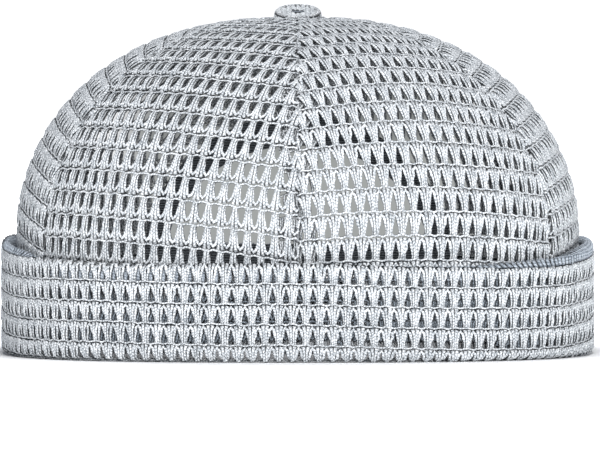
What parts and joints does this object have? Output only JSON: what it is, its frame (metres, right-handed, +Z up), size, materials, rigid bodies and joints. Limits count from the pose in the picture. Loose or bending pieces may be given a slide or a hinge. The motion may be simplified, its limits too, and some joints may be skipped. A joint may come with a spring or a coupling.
{
  "type": "mesh watch cap",
  "caption": "Brimless openwork knit cap with a round crown of sewn gores, a turned-up double cuff, a covered top button and a bound half-moon gap at the back.",
  "frame": {"origin": "middle of the bottom edge, on the surface the cap rests on", "axes": "+Z up through the button, -Y towards the front seam, +X to the viewer's right when the front is seen"},
  "size_m": [0.186, 0.1674, 0.1094],
  "materials": {
    "mesh_yarn": "matte openwork knit",
    "button_cloth": "matte knit over a disc",
    "binding_tape": "matte woven tape"
  },
  "bodies": {
    "root": {"crown_panel_front_right": "mesh_yarn", "crown_panel_side_right": "mesh_yarn", "crown_panel_back_right": "mesh_yarn", "crown_panel_back_left": "mesh_yarn", "crown_panel_side_left": "mesh_yarn", "crown_panel_front_left": "mesh_yarn", "cuff": "mesh_yarn", "top_button": "button_cloth", "opening_binding": "binding_tape"}
  },
  "joints": []
}
